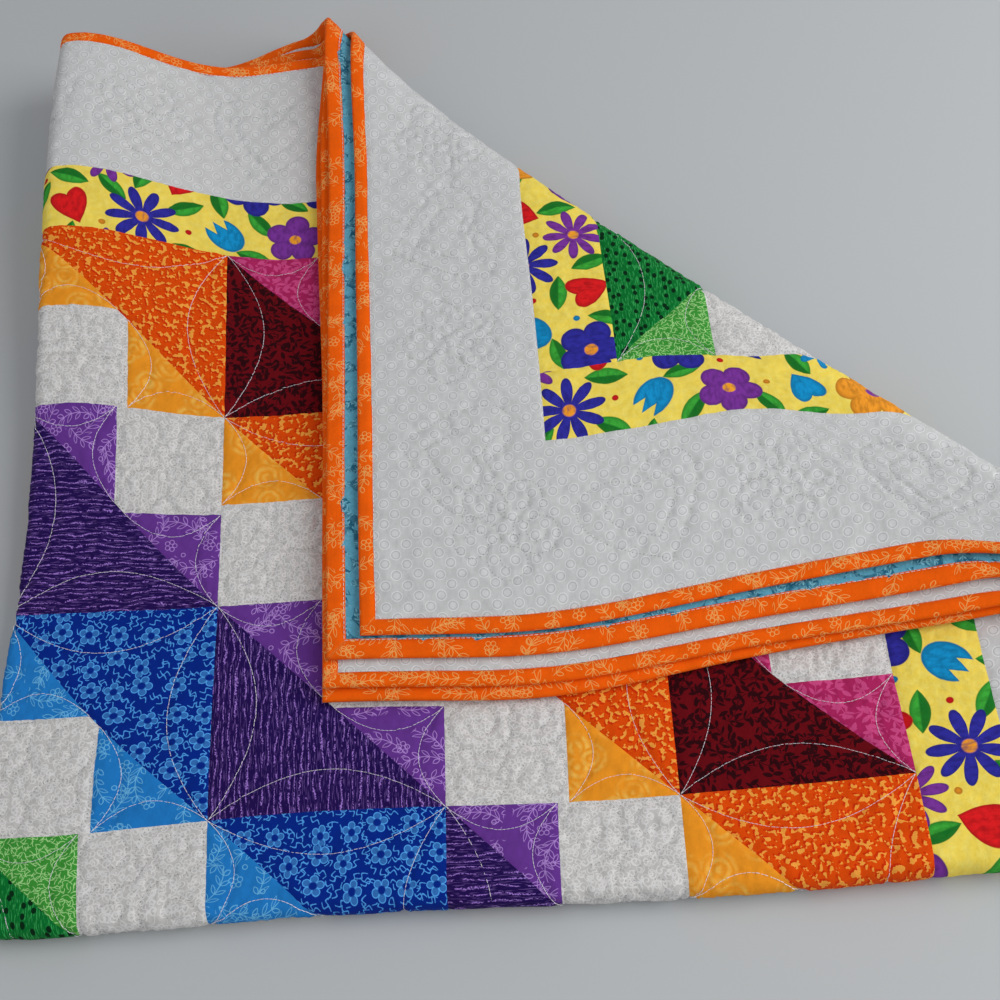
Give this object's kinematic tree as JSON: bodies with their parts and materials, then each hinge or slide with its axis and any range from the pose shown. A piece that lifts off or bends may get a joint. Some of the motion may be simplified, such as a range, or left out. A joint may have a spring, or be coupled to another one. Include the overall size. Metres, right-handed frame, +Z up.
{
  "type": "folded patchwork quilt",
  "caption": "Pieced patchwork throw quilt folded in quarters with its open corner turned back, showing stacked bound edges and the backing; lies flat on a surface",
  "frame": {"origin": "centre of the folded packet's footprint, on the surface it lies on", "axes": "+X along the near fold, +Y from the near fold to the far open edge, +Z up through the layers"},
  "size_m": [0.8194, 0.7646, 0.083],
  "materials": {
    "pieced_cotton": "printed plain-weave cotton, quilted, matte",
    "backing_cotton": "mottled printed cotton, matte",
    "binding_cotton": "printed cotton binding, matte"
  },
  "bodies": {
    "root": {"quilt_top": "pieced_cotton", "backing": "backing_cotton", "binding": "binding_cotton"}
  },
  "joints": []
}
